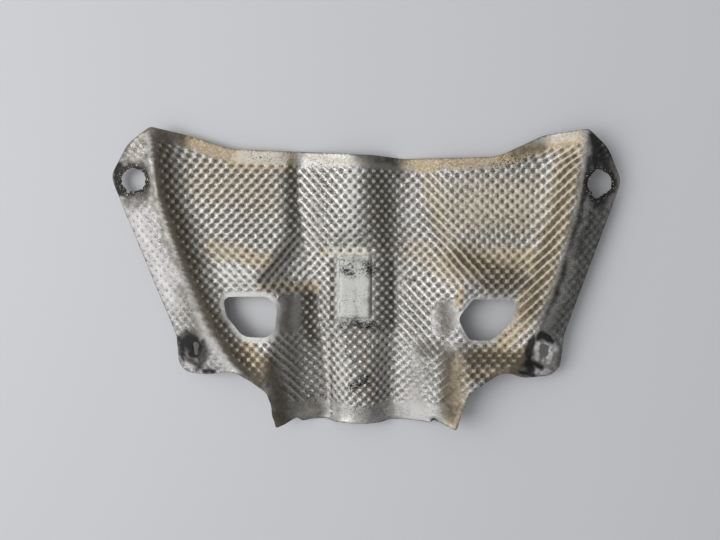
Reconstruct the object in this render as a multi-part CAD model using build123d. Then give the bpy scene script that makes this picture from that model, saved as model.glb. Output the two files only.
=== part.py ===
from build123d import *
from math import hypot, radians, tan
import os

os.makedirs("parts", exist_ok=True)

# Exhaust heat shield: one pressed aluminium sheet, lying on its back with the worn face up.
# X runs across the shield, Y from the two fangs (minus) to the eared edge (plus), Z up. Millimetres.

# Sheet and flanges
sheet_t = 0.9
flange_fall = 20.0

# Heights of the upper face, the two valleys of the rib being the lowest
valley_left_z = 1.0
valley_right_z = 0.3
panel_left_z = 10.0
panel_right_z = 12.0
knee_z = 6.0
trough_knee_z = 10.0
floor_z = 2.0
shelf_z = 9.5
rib_z = 21.0
lip_z = 22.0
ridge_left_z = 25.0
ridge_right_z = 29.0
hip_z = 30.0
fang_z = 34.0

# Raised pad, and the flat shelf of the rib that it stands on
pad_w = 32.0
pad_l = 63.0
pad_h = 3.0
pad_corner = 4.0
pad_draft = 30.0
pad_x = -10.0
pad_y = 0.0
shelf_side = 7.0
shelf_end = 4.5

# Ear holes, keyhole and torn bolt hole, each cut square to its flange
ear_hole_r = 12.2
ear_left_inset = 22.5
ear_left_y = 100.5
ear_right_inset = 21.5
ear_right_y = 98.5
key_w = 5.0
key_l = 12.5
key_head_r = 3.6
key_x = -162.0
key_y = -59.0
torn_w = 10.0
torn_l = 14.5
torn_lean = 10.0
torn_x = 169.5
torn_y = -61.0

# Trimmed edge, clockwise from the left ear: (x, y, corner radius)
trim_edge = [
    (-194.5, 149, 6), (-160, 140.5, 60), (-126, 129.2, 60), (8, 123.5, 80), (36, 119.8, 60),
    (122, 122, 40), (163, 141.5, 40), (200, 147, 5),
    (221, 130, 40), (236.5, 100, 16), (188, -44, 30), (186, -86, 15), (150, -85.5, 30), (131, -77, 20),
    (97, -100, 20), (86, -135.5, 1.5), (66, -129.5, 1), (62.5, -133, 1),
    (-60, -133, 1), (-66, -129.5, 1), (-86, -135.5, 1.5), (-92, -100, 20), (-124, -77, 25), (-150, -83.5, 30),
    (-180, -84.5, 14), (-180.5, -46, 30), (-237.5, 104, 16), (-218, 134, 40),
]

# Windows through the sheet beside the troughs, clockwise: (x, y, corner radius)
window_left = [(-135, -8.8, 6), (-82, -7.2, 14), (-86, -46.5, 13), (-116, -46.5, 14), (-131.5, -27, 14)]
window_right = [
    (100.5, -9.8, 7), (144, -11, 8), (138, -30, 14), (119, -49, 14), (97, -48.5, 8), (86.5, -28, 8)]

# The pressing runs one ear hole past the trimmed edge on every side
left_end = min(x for x, y, r in trim_edge) - ear_hole_r
right_end = max(x for x, y, r in trim_edge) + ear_hole_r
top_end = max(y for x, y, r in trim_edge) + ear_hole_r
bottom_end = min(y for x, y, r in trim_edge) - ear_hole_r
flange_rise = tan(radians(flange_fall))
ear_left_x = min(x for x, y, r in trim_edge) + ear_left_inset
ear_right_x = max(x for x, y, r in trim_edge) - ear_right_inset

# Shelf corners
shelf_left = pad_x - pad_w / 2 - shelf_side
shelf_right = pad_x + pad_w / 2 + shelf_side
shelf_top = pad_y + pad_l / 2 + shelf_end
shelf_bottom = pad_y - pad_l / 2 - shelf_end

# Fold lines from the eared edge to the fangs: set-back of the bend, then (y, x, z) of the sharp fold
ridge_left = (5, [
    (top_end, -198, ridge_left_z), (78, -188.5, ridge_left_z), (14, -167.5, ridge_left_z + 1),
    (-38, -145.5, ridge_left_z + 3), (-71, -125.5, ridge_left_z + 5), (-95, -108, fang_z - 2),
    (bottom_end, -102, fang_z)])
wall_foot_left = (5, [
    (top_end, -173, panel_left_z), (77, -167, panel_left_z), (41, -155, panel_left_z),
    (8, -144, panel_left_z + 4), (-30, -130, panel_left_z + 8), (-65, -114, panel_left_z + 12),
    (-95, -102, hip_z - 2), (bottom_end, -97, fang_z - 1)])
panel_edge_left = (4, [
    (top_end, -75, panel_left_z), (80, -77, panel_left_z), (54, -75.5, panel_left_z),
    (37, -81.5, panel_left_z + 3), (8, -104, lip_z), (-8, -84, lip_z), (-44, -88, lip_z + 3),
    (-88, -96, hip_z + 1), (bottom_end, -86, fang_z)])
knee_left = (3.5, [
    (top_end, -69, knee_z), (80, -70, knee_z), (54, -66.5, floor_z + 2), (37, -65, floor_z),
    (8, -73.5, floor_z), (-8, -61, trough_knee_z), (-44, -61.5, trough_knee_z - 1),
    (-88, -64, trough_knee_z - 4), (bottom_end, -67, trough_knee_z - 4.5)])
valley_left = (0, [
    (top_end, -64, valley_left_z), (80, -64, valley_left_z), (54, -60, valley_left_z),
    (37, -58, valley_left_z), (8, -52, valley_left_z), (-8, -47, valley_left_z),
    (bottom_end, -33, valley_left_z)])
crown_left = (4.5, [
    (top_end, -12, rib_z), (80, -14, rib_z), (52, -22, rib_z - 5), (shelf_top, shelf_left, shelf_z),
    (shelf_bottom, shelf_left, shelf_z), (-48, -25, shelf_z), (-70, -18, shelf_z + 4),
    (bottom_end, -16, rib_z - 2)])
crown_right = (4.5, [
    (top_end, 0, rib_z), (80, 1, rib_z), (52, 5, rib_z - 5), (shelf_top, shelf_right, shelf_z),
    (shelf_bottom, shelf_right, shelf_z), (-48, 7, shelf_z), (-70, 4, shelf_z + 5),
    (bottom_end, 4, rib_z - 1)])
valley_right = (4.5, [
    (top_end, 32, valley_right_z), (44, 30, valley_right_z), (-24, 28.5, valley_right_z),
    (bottom_end, 23, valley_right_z)])
knee_right = (4, [
    (top_end, 54, knee_z - 1.5), (80, 55, knee_z - 1.5), (38, 61, knee_z), (8, 63, knee_z + 1.5),
    (-8, 58, trough_knee_z + 1), (-44, 55, trough_knee_z), (-88, 60, trough_knee_z + 2),
    (bottom_end, 62, trough_knee_z + 3)])
panel_edge_right = (4.5, [
    (top_end, 75, panel_right_z), (80, 78, panel_right_z), (54, 84.5, panel_right_z + 1),
    (37, 89, panel_right_z + 3), (8, 94, lip_z), (-8, 86, lip_z + 1), (-44, 86, lip_z + 4),
    (-88, 98, hip_z + 2), (bottom_end, 86, fang_z)])
wall_foot_right = (5, [
    (top_end, 166, panel_right_z + 3), (82, 166, panel_right_z + 2), (37, 158, panel_right_z + 2),
    (8, 149.5, panel_right_z + 7), (-10, 144, panel_right_z + 9), (-52, 131, panel_right_z + 12),
    (-90, 108, hip_z), (bottom_end, 97, fang_z - 1)])
ridge_right = (5, [
    (top_end, 201, ridge_right_z), (83, 193.5, ridge_right_z), (37, 183, ridge_right_z),
    (-9, 171, ridge_right_z), (-52, 158, ridge_right_z + 1), (-76, 145, ridge_right_z + 2),
    (-95, 118, fang_z - 2), (bottom_end, 104, fang_z)])
fold_lines = [
    ridge_left, wall_foot_left, panel_edge_left, knee_left, valley_left, crown_left,
    crown_right, valley_right, knee_right, panel_edge_right, wall_foot_right, ridge_right]

# Stations where a section of the sheet is drawn, close together where the folds change
stations = [top_end, 138, 108, 78, 54, 37, 8, -8, -36, -50, -64, -78, -92, -112, bottom_end]


# Point (x, z) of a fold line at a station, straight between its knots
def on_fold(knots, y):
    for (ya, xa, za), (yb, xb, zb) in zip(knots, knots[1:]):
        if y >= yb:
            s = (ya - y) / (ya - yb)
            return (xa + (xb - xa) * s, za + (zb - za) * s)
    return knots[-1][1:]


# Closed outline of the sheet at a station: straight webs with a curved bend at every fold
def section(y):
    folds = [on_fold(knots, y) for bend, knots in fold_lines]
    left = (left_end, folds[0][1] - flange_rise * (folds[0][0] - left_end))
    right = (right_end, folds[-1][1] - flange_rise * (right_end - folds[-1][0]))
    upper = [left] + folds + [right]
    runs = [(b[0] - a[0], b[1] - a[1]) for a, b in zip(upper, upper[1:])]
    lengths = [hypot(*run) for run in runs]
    along = [(run[0] / n, run[1] / n) for run, n in zip(runs, lengths)]
    down = [(u[1] * sheet_t, -u[0] * sheet_t) for u in along]
    lower = [(left[0] + down[0][0], left[1] + down[0][1])]
    for v, ua, ub, na, nb in zip(folds, along, along[1:], down, down[1:]):
        k = 1 / (1 + ua[0] * ub[0] + ua[1] * ub[1])
        lower.append((v[0] + k * (na[0] + nb[0]), v[1] + k * (na[1] + nb[1])))
    lower.append((right[0] + down[-1][0], right[1] + down[-1][1]))
    edges = [Line((upper[i][0], y, upper[i][1]), (lower[i][0], y, lower[i][1])) for i in (0, -1)]
    for face in (upper, lower):
        start = face[0]
        for i, (bend, knots) in enumerate(fold_lines):
            back = min(bend, 0.42 * lengths[i], 0.42 * lengths[i + 1])
            v = face[i + 1]
            a = (v[0] - back * along[i][0], v[1] - back * along[i][1])
            b = (v[0] + back * along[i + 1][0], v[1] + back * along[i + 1][1])
            edges.append(Line((start[0], y, start[1]), (a[0], y, a[1])))
            if back > 0:
                edges.append(Bezier((a[0], y, a[1]), (v[0], y, v[1]), (b[0], y, b[1])))
            start = b
        edges.append(Line((start[0], y, start[1]), (face[-1][0], y, face[-1][1])))
    return Wire(edges)


# Flat face with rounded corners; a corner takes at most half of the shorter side beside it
def rounded(points):
    edges = []
    ends = []
    for i, (x, y, r) in enumerate(points):
        p = Vector(x, y)
        q = Vector(*points[i - 1][:2])
        n = Vector(*points[(i + 1) % len(points)][:2])
        to_q = (q - p).normalized()
        to_n = (n - p).normalized()
        half = radians(to_q.get_angle(to_n)) / 2
        cut = min(r / tan(half), 0.48 * (q - p).length, 0.48 * (n - p).length)
        bulge = hypot(cut, cut * tan(half)) - cut * tan(half)
        a = p + to_q * cut
        b = p + to_n * cut
        edges.append(ThreePointArc(a, p + (to_q + to_n).normalized() * bulge, b))
        ends.append((a, b))
    for i, (a, b) in enumerate(ends):
        edges.append(Line(ends[i - 1][1], a))
    return make_face(edges)


# Plane of a flange at a plan point, its Z square to the sheet: side is -1 on the left, +1 on the right
def flange_plane(side, x, y):
    knots = ridge_left[1] if side < 0 else ridge_right[1]
    ridge_x, ridge_z = on_fold(knots, y)
    lean = (on_fold(knots, y + ear_hole_r)[0] - on_fold(knots, y - ear_hole_r)[0]) / (2 * ear_hole_r)
    z = ridge_z - flange_rise * abs(x - ridge_x)
    square = (side * flange_rise, -side * flange_rise * lean, 1)
    return Plane((x, y, z), x_dir=(1, 0, -side * flange_rise), z_dir=square)


# Pressed sheet, trimmed to its edge and pierced
pressing = Solid.make_loft([section(y) for y in stations], ruled=True)
length = top_end - bottom_end
depth = 2 * length
below = Plane.XY.offset(-length)
sheet = pressing & extrude(below * rounded(trim_edge), depth)
for window in (window_left, window_right):
    sheet -= extrude(below * rounded(window), depth)

# Raised pad: a shallow tray with sloping sides let into the shelf, its foot half way through the sheet
outer = Pos(pad_x, pad_y) * RectangleRounded(pad_w, pad_l, pad_corner)
inner = Pos(pad_x, pad_y) * RectangleRounded(pad_w - 2 * sheet_t, pad_l - 2 * sheet_t, pad_corner - sheet_t)
foot_z = shelf_z - sheet_t / 2
tray_h = pad_h + sheet_t / 2
tray = extrude(Pos(0, 0, foot_z) * outer, tray_h, taper=pad_draft)
tray -= extrude(Pos(0, 0, foot_z - sheet_t) * inner, tray_h, taper=pad_draft)
sheet -= extrude(below * inner, depth)
sheet += tray

# Holes in the flanges
for side, x, y in ((-1, ear_left_x, ear_left_y), (1, ear_right_x, ear_right_y)):
    sheet -= flange_plane(side, x, y) * Cylinder(ear_hole_r, 2 * ear_hole_r)
key = SlotOverall(key_l, key_w, rotation=90) + Pos(0, key_l / 2 - key_head_r) * Circle(key_head_r)
sheet -= extrude(flange_plane(-1, key_x, key_y) * key, key_l, both=True)
torn = SlotOverall(torn_l, torn_w, rotation=90 - torn_lean)
sheet -= extrude(flange_plane(1, torn_x, torn_y) * torn, torn_l, both=True)

# The origin is under the middle of the part, at the height of its lowest bend
points, facets = sheet.tessellate(sheet_t / 10)
middle = sheet.bounding_box().center()
sheet = Pos(-middle.X, -middle.Y, -min(p.Z for p in points)) * sheet

export_step(sheet, "parts/heat_shield.step")
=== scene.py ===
import math

import bpy
import numpy as np
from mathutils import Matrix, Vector, kdtree, noise
from mathutils.bvhtree import BVHTree
from mathutils.geometry import delaunay_2d_cdt


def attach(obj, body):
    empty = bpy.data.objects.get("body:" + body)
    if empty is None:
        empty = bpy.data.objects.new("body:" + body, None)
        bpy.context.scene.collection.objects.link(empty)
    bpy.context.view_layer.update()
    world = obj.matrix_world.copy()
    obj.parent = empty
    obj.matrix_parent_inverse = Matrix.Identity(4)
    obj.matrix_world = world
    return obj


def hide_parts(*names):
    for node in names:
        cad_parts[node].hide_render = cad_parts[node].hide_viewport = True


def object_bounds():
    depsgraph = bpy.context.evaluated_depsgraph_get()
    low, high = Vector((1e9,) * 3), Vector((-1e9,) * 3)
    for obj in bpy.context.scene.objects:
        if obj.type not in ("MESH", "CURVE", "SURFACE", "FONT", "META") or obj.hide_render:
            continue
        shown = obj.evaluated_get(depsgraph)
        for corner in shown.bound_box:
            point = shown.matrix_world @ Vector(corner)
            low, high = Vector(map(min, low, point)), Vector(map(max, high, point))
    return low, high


noise.seed_set(11)      # a fixed seed gives the same sheet each run
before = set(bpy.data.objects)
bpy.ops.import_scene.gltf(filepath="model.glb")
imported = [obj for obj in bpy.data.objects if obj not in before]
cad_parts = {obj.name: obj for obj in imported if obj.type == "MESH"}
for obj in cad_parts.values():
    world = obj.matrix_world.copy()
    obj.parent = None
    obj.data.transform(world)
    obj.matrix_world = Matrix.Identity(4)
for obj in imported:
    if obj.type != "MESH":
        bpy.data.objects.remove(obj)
cadBox = [list(corner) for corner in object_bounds()]
low, high = np.array(cadBox[0]), np.array(cadBox[1])
scene = bpy.context.scene
scene.view_settings.view_transform = "Standard"

# The camera that took the photograph, image size in pixels, lengths in metres
photoView = {
    "width": 720, "height": 540,
    "place": (-0.005055, 0.112375, 0.7010), "tilt": -0.14816,
    "lens": 36.85, "sensor": 36.0,
}
focal = photoView["lens"] / photoView["sensor"] * photoView["width"]
eye = np.array(photoView["place"])
sinTilt, cosTilt = math.sin(photoView["tilt"]), math.cos(photoView["tilt"])

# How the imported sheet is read, lengths in metres
probe = {
    "join": 2e-6,           # corners of triangles nearer than this are one point
    "facingUp": 0.2,        # least rise of a normal on the upper face
    "top": 0.2,             # height that rays fall from
    "middle": 0.02,         # height at which the nearest point is looked for
    "carry": 0.0004,        # most that a slope is carried on past an edge
    "start": 0.015,         # first guess of a height under a pixel
    "guesses": 4,
    "loopPoints": 6,        # shorter loops are slivers
}


def toPixel(points):
    # photograph pixels of points in metres
    d = points - eye
    up = d[:, 1] * cosTilt + d[:, 2] * sinTilt
    away = d[:, 1] * sinTilt - d[:, 2] * cosTilt
    return np.stack((photoView["width"] / 2 + focal * d[:, 0] / away,
                     photoView["height"] / 2 - focal * up / away), axis=1)


def pixelRay(px, py):
    dx, dy = (px - photoView["width"] / 2) / focal, (photoView["height"] / 2 - py) / focal
    return np.array((dx, dy * cosTilt + sinTilt, dy * sinTilt - cosTilt))


def faceCross(points, tris):
    first, second, third = (points[tris[:, i]] for i in range(3))
    return np.cross(second - first, third - first)


def faceNormals(points, tris):
    normals = faceCross(points, tris)
    return normals / np.maximum(np.linalg.norm(normals, axis=1), 1e-15)[:, None]


def pointTree(points):
    tree = kdtree.KDTree(len(points))
    for i, point in enumerate(points):
        tree.insert(point, i)
    tree.balance()
    return tree


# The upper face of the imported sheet, its loose triangles joined at their lowest numbered points
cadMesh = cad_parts["heat_shield"].data
cadPoints = np.array([v.co[:] for v in cadMesh.vertices])
twins = pointTree(cadPoints)
same = np.array([min(hit[1] for hit in twins.find_range(point, probe["join"])) for point in cadPoints])
cadTris = same[np.array([face.vertices[:] for face in cadMesh.polygons])]
cadTris = cadTris[faceNormals(cadPoints, cadTris)[:, 2] > probe["facingUp"]]
cadTree = BVHTree.FromPolygons(cadPoints.tolist(), cadTris.tolist())


def rayHeight(x, y):
    hit = cadTree.ray_cast(Vector((x, y, probe["top"])), Vector((0, 0, -1)))[0]
    return math.nan if hit is None else hit.z


def heightAt(x, y):
    # off the sheet, the nearest slope is carried on a little
    z = rayHeight(x, y)
    if not math.isnan(z):
        return z
    near, normal = cadTree.find_nearest(Vector((x, y, probe["middle"])))[:2]
    rise = (normal.x * (x - near.x) + normal.y * (y - near.y)) / normal.z
    return near.z - min(max(rise, -probe["carry"]), probe["carry"])


def planPixels(points):
    # photograph pixels of plan points on the sheet
    return toPixel(np.column_stack((points, [heightAt(x, y) for x, y in points])))


def planAt(px, py):
    # plan point of the sheet under a pixel of the photograph
    ray = pixelRay(px, py)
    z = probe["start"]
    for guess in range(probe["guesses"]):
        spot = eye + ray * ((z - eye[2]) / ray[2])
        z = heightAt(spot[0], spot[1])
    return spot[:2]


def rimEdges(tris):
    # sides that only one triangle has, running the way of that triangle
    sides = {(a, b) for t in tris.tolist() for a, b in zip(t, t[1:] + t[:1])}
    return sorted((a, b) for a, b in sides if (b, a) not in sides)


def edgeLoops(points, tris):
    ahead = dict(rimEdges(tris))
    loops = []
    while ahead:
        corner = min(ahead)
        loop = []
        while corner in ahead:
            loop.append(points[corner, :2])
            corner = ahead.pop(corner)
        loops.append(np.array(loop))
    return [loop for loop in loops if len(loop) > probe["loopPoints"]]


def loopArea(loop):
    x, y = loop[:, 0], loop[:, 1]
    return 0.5 * np.sum(x * np.roll(y, -1) - y * np.roll(x, -1))


def evenLoop(loop, pitch, sharp=0.5):
    # corners sharper than so many radians stay, the runs between them are divided evenly
    loop = loop[np.linalg.norm(loop - np.roll(loop, 1, axis=0), axis=1) > 1e-6]
    into = loop - np.roll(loop, 1, axis=0)
    out = np.roll(loop, -1, axis=0) - loop
    turn = np.arctan2(into[:, 0] * out[:, 1] - into[:, 1] * out[:, 0], np.sum(into * out, axis=1))
    corners = np.nonzero(np.abs(turn) > sharp)[0]
    first = corners[0] if len(corners) else 0
    loop = np.roll(loop, -first, axis=0)
    cuts = [c - first for c in corners] if len(corners) else [0]
    points = []
    for start, end in zip(cuts, cuts[1:] + [len(loop)]):
        run = np.vstack((loop[start:end], loop[end % len(loop)][None]))
        along = np.concatenate(([0], np.cumsum(np.linalg.norm(np.diff(run, axis=0), axis=1))))
        stops = np.linspace(0, along[-1], max(1, round(along[-1] / pitch)) + 1)[:-1]
        points.append(np.stack([np.interp(stops, along, run[:, axis]) for axis in range(2)], axis=1))
    return np.vstack(points)


def inside(points, loop):
    x, y = points[:, 0], points[:, 1]
    odd = np.zeros(len(points), bool)
    for (ax, ay), (bx, by) in zip(loop, np.roll(loop, -1, axis=0)):
        if ay != by:
            odd ^= ((ay > y) != (by > y)) & (x < (bx - ax) * (y - ay) / (by - ay) + ax)
    return odd


def ease(start, end, value):
    t = np.clip((value - start) / (end - start), 0, 1)
    return t * t * (3 - 2 * t)


def lineDistance(points, line, closed=False):
    line = np.asarray(line, float)
    ends = np.roll(line, -1, axis=0) if closed else line[1:]
    best = np.full(len(points), 1e9)
    for a, b in zip(line, ends):
        ab = b - a
        t = np.clip((points - a) @ ab / max(ab @ ab, 1e-12), 0, 1)
        best = np.minimum(best, np.linalg.norm(points - a - t[:, None] * ab, axis=1))
    return best


# Fixing holes as corrosion left them, in pixels of the photograph
holeEdges = {
    "earLeft": [
        (132.7, 167.7), (135, 168.3), (138.3, 169.7), (141.3, 170.3), (143.7, 172.7), (145, 176),
        (145.3, 179.3), (145, 183.3), (144.3, 186), (142.3, 188), (139.7, 189.7), (136.3, 191),
        (133, 192), (130.7, 191.3), (129.3, 193.3), (127.3, 193.7), (126, 192.3), (125.7, 190),
        (124.3, 188), (122.7, 186), (121.3, 183.3), (121.7, 180.7), (120, 179.3), (120.7, 177),
        (122.3, 174.3), (123.7, 172.3), (126.3, 170), (129, 169)],
    "earRight": [
        (597.3, 169.3), (600, 168.7), (602, 170), (604.7, 171.7), (607.3, 173), (610, 175.3),
        (611.3, 178), (612, 181.3), (611.7, 185.3), (612, 188.3), (610, 190.3), (607.3, 192),
        (604.7, 194), (602, 195.3), (598.7, 197.3), (596.3, 199), (593.7, 197.3), (591.3, 194.3),
        (591.7, 192), (589.7, 190), (588, 186.7), (587.3, 183.3), (588.7, 180.3), (590, 178),
        (591.3, 175), (593.3, 172.7), (595.3, 170.3)],
    "keyLeft": [
        (193.7, 342.3), (195.3, 341.9), (197.3, 342.3), (198.8, 344), (199, 346), (198.3, 348.7),
        (198.2, 352), (198, 354.3), (196.7, 355.2), (194.7, 354.7), (193.7, 352.7), (193.9, 350),
        (193.3, 346.7), (193, 344)],
    "tornRight": [
        (543, 343.7), (546, 344.3), (548, 345.3), (549, 348), (548.2, 350.5), (549.3, 352.7),
        (548, 355.3), (546, 356.7), (543.3, 357.7), (540.7, 358.7), (539.7, 355.3), (538.7, 352.7),
        (539.7, 349.3), (539.3, 346.7), (540.7, 344.7)],
}
eatenHoles = ("earLeft", "earRight", "tornRight")

# Sheet, lengths in metres; a pair is the depth and the size of a waviness
sheetForm = {
    "thickness": 0.0009,
    "embossPitch": 0.0093,          # across and along, between nubs of one row
    "samples": 5,                   # mesh points to one wave of the embossing
    "edgePitch": 0.0014,
    "holeShare": 0.6,               # of the edge pitch, at the fixing holes
    "clear": 0.0008,                # between the edges and the other mesh points
    "inset": 1e-5,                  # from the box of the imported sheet
    "ragged": (0.0001, 0.009),      # sheared edges
    "eaten": (0.0009, 0.0026),      # corroded edges
}
edgePitch, inset = sheetForm["edgePitch"], sheetForm["inset"]
cadLoops = sorted(edgeLoops(cadPoints, cadTris), key=lambda loop: -abs(loopArea(loop)))
print("cad loops", [(len(loop), round(abs(loopArea(loop)) * 1e6)) for loop in cadLoops])
rims = [evenLoop(loop, edgePitch) for loop in cadLoops[:3]]
for edge in holeEdges.values():
    rims.append(evenLoop(np.array([planAt(px, py) for px, py in edge]), edgePitch * sheetForm["holeShare"]))


# A little waviness on the sheared edges, finer and deeper on the corroded holes
def roughen(loop, depth, size, seed):
    out = []
    for x, y in loop:
        n = noise.noise_vector(Vector((x / size, y / size, seed)))
        out.append((x + depth * n.x, y + depth * n.y))
    return np.array(out)


rims = [roughen(rim, *sheetForm["eaten" if name in eatenHoles else "ragged"], i)
        for i, (name, rim) in enumerate(zip(("outline", "window", "window", *holeEdges), rims))]
rims = [np.clip(rim, low[:2] + inset, high[:2] - inset) for rim in rims]

# Raised pad on the rib, lengths in metres
padForm = {
    "foot": (-0.0258, 0.0063, -0.0382, 0.0248),     # left, right, bottom, top
    "draft": 0.0017, "corner": 0.004,
    "skirt": 0.0004, "crown": 0.0005,               # mesh loops round its foot and inside its top
    "margin": 0.003,                                # round the foot, where nothing is softened
}
padLeft, padRight, padBottom, padTop = padForm["foot"]


def nearPad(points):
    margin = padForm["margin"]
    past = points > (padLeft - margin, padBottom - margin)
    return (past & (points < (padRight + margin, padTop + margin))).all(axis=1)


def roundedBox(x0, x1, y0, y1, corner, pitch):
    points = []
    for cx, cy, turn in ((x1 - corner, y1 - corner, 0), (x0 + corner, y1 - corner, 90),
                         (x0 + corner, y0 + corner, 180), (x1 - corner, y0 + corner, 270)):
        for part in range(7):
            angle = math.radians(turn + 15 * part)
            points.append((cx + corner * math.cos(angle), cy + corner * math.sin(angle)))
    return evenLoop(np.array(points), pitch)


padLoops = [roundedBox(padLeft + grow, padRight - grow, padBottom + grow, padTop - grow,
                       padForm["corner"] - grow, edgePitch)
            for grow in (-padForm["skirt"], 0.0, padForm["draft"], padForm["draft"] + padForm["crown"])]

# Creases that stay sharp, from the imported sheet: least turn in radians, lengths in metres
creaseForm = {"turn": 0.3, "clear": 0.0012, "pitch": 0.0013}
tilt = faceNormals(cadPoints, cadTris)
owners = {}
for face, corners in enumerate(cadTris.tolist()):
    for a, b in zip(corners, corners[1:] + corners[:1]):
        owners.setdefault((min(a, b), max(a, b)), []).append(face)
creases = []
for edge, pair in sorted(owners.items()):
    if len(pair) == 2 and tilt[pair[0]] @ tilt[pair[1]] < math.cos(creaseForm["turn"]):
        ends = cadPoints[list(edge), :2]
        gap = min(lineDistance(ends, rim, closed=True).min() for rim in rims)
        if not nearPad(ends).all() and gap > creaseForm["clear"] and inside(ends, rims[0]).all():
            run = ends[1] - ends[0]
            parts = max(1, round(np.linalg.norm(run) / creaseForm["pitch"]))
            creases.append(ends[0] + run * np.linspace(0, 1, parts + 1)[:, None])
print("creases", len(creases))

# Arc length along each row of the sheet, so that the embossing keeps its pitch on the slopes
arcGrid = {"margin": 0.004, "columns": 330, "rows": 100, "fewest": 10, "smoothing": 6}
gridX = np.linspace(low[0] - arcGrid["margin"], high[0] + arcGrid["margin"], arcGrid["columns"])
gridY = np.linspace(low[1] - arcGrid["margin"], high[1] + arcGrid["margin"], arcGrid["rows"])
gridZ = np.array([[rayHeight(x, y) for x in gridX] for y in gridY])
for row in gridZ:
    good = ~np.isnan(row)
    if good.sum() > arcGrid["fewest"]:
        row[:] = np.interp(gridX, gridX[good], row[good])
filled = np.nonzero(~np.isnan(gridZ[:, 0]))[0]
for j in range(len(gridY)):
    gridZ[j] = gridZ[filled[np.argmin(np.abs(filled - j))]]
gridU = np.zeros_like(gridZ)
gridU[:, 1:] = np.cumsum(np.hypot(np.diff(gridX)[None], np.diff(gridZ, axis=1)), axis=1)
gridU -= np.array([np.interp(0, gridX, row) for row in gridU])[:, None]
for turn in range(arcGrid["smoothing"]):
    gridU[1:-1] = 0.25 * gridU[:-2] + 0.5 * gridU[1:-1] + 0.25 * gridU[2:]


def arcRow(y):
    t = np.clip((y - gridY[0]) / (gridY[1] - gridY[0]), 0, len(gridY) - 1.001)
    j = int(t)
    return gridU[j] * (1 - (t - j)) + gridU[j + 1] * (t - j)


# Where the pressing left the sheet plain, in pixels of the photograph
topEdge = [
    (150, 127), (167, 130), (190, 136), (210, 143), (233, 149), (250, 150), (287, 152), (297, 153),
    (302, 155), (347, 154), (377, 156), (402, 159), (433, 159), (477, 157), (497, 156), (513, 150),
    (530, 142), (547, 135), (567, 133), (585, 129),
]
bottomEdge = [
    (297, 418), (313, 416), (331, 416), (345, 421), (362, 424), (380, 420), (393, 416), (407, 417),
    (433, 421),
]
ridgeLeft = [(150, 127), (155, 180), (160, 205), (185, 275), (210, 330), (232, 365), (252, 381)]
ridgeRight = [
    (589, 130), (587, 165), (581, 200), (568, 250), (552, 300), (535, 345), (520, 370), (495, 378),
]
plainPatches = [
    [(336, 254), (374, 254), (374, 325), (336, 325)],
    [(279, 296), (300, 294), (303, 318), (297, 334), (279, 333), (274, 322), (279, 308)],
    [(431, 312), (440, 300), (458, 299), (459, 318), (455, 335), (432, 335)],
    [(262, 386), (285, 402), (297, 418), (275, 433)], [(470, 388), (448, 405), (433, 420), (457, 433)],
]
windowEdges = [planPixels(rim) for rim in rims[1:3]]
holeLines = [planPixels(rim) for rim in rims[3:]]


def patchMask(pixels, patch, soft):
    d = lineDistance(pixels, patch, closed=True)
    signed = np.where(inside(pixels, np.array(patch, float)), -d, d)
    return 1 - ease(-soft, soft, signed)


def sideOf(pixels, line):
    # true on the left of a line that runs down the photograph
    line = np.array(line, float)
    return pixels[:, 0] < np.interp(pixels[:, 1], line[:, 1], line[:, 0])


def onPanels(pixels):
    return sideOf(pixels, ridgeRight) & ~sideOf(pixels, ridgeLeft)


def brushed(points, strokes):
    # soft strokes: a line of points, half width, strength
    mask = np.zeros(len(points))
    for line, width, strength in strokes:
        mask = np.maximum(mask, strength * (1 - ease(0, 1.25 * width, lineDistance(points, line))))
    return mask


# Where the embossing is pressed flatter, and how its nubs run together or stand apart
wallLeft = [(166, 150), (172, 205), (192, 262), (214, 318), (238, 352)]
embossStrokes = {
    "faint": [
        ([(290, 350), (310, 410)], 26, 0.42), ([(272, 372), (282, 420)], 20, 0.9),
        ([(416, 356), (420, 405)], 26, 0.7), ([(452, 352), (452, 412)], 20, 0.8), (wallLeft, 12, 0.15),
        ([(470, 358), (518, 361)], 16, 0.46), ([(538, 275), (512, 335)], 18, 0.32),
        ([(560, 195), (543, 255)], 16, 0.26), ([(225, 262), (240, 285)], 20, 0.35),
        ([(455, 262), (520, 262)], 20, 0.15), ([(470, 190), (480, 220)], 24, 0.25)],
    "slash": [
        ([(215, 185), (265, 190), (240, 225)], 45, 0.3), ([(292, 240), (268, 275)], 18, 0.5),
        ([(312, 250), (305, 278)], 14, 0.5),
        ([(566, 160), (552, 220), (535, 275), (515, 330)], 24, 0.45),
        ([(445, 365), (450, 405)], 16, 0.5)],
    "backslash": [
        ([(318, 175), (316, 240)], 24, 0.8), ([(225, 262), (240, 280)], 22, 0.4),
        ([(437, 180), (446, 250), (470, 275)], 22, 0.5), ([(412, 300), (414, 345)], 24, 0.7),
        ([(315, 350), (318, 390)], 18, 0.4), ([(280, 350), (298, 405)], 18, 0.85),
        ([(480, 190), (500, 220)], 36, 0.2)],
    "level": [
        ([(195, 170), (265, 185), (235, 235)], 60, 1.0), ([(420, 365), (418, 400)], 24, 0.8),
        ([(225, 275), (255, 280)], 20, 0.6)],
    "upright": [
        ([(455, 180), (530, 195), (500, 240)], 60, 0.9), ([(470, 358), (516, 361)], 16, 0.9),
        ([(410, 180), (412, 240)], 14, 0.5)],
    "apart": [
        ([(382, 165), (385, 245)], 24, 1.0), ([(386, 262), (388, 322)], 16, 1.0), (wallLeft, 20, 0.3),
        ([(354, 335), (374, 400)], 24, 0.9), ([(311, 296), (311, 400)], 16, 0.8),
        ([(292, 170), (294, 230)], 10, 0.8)],
}

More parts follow.
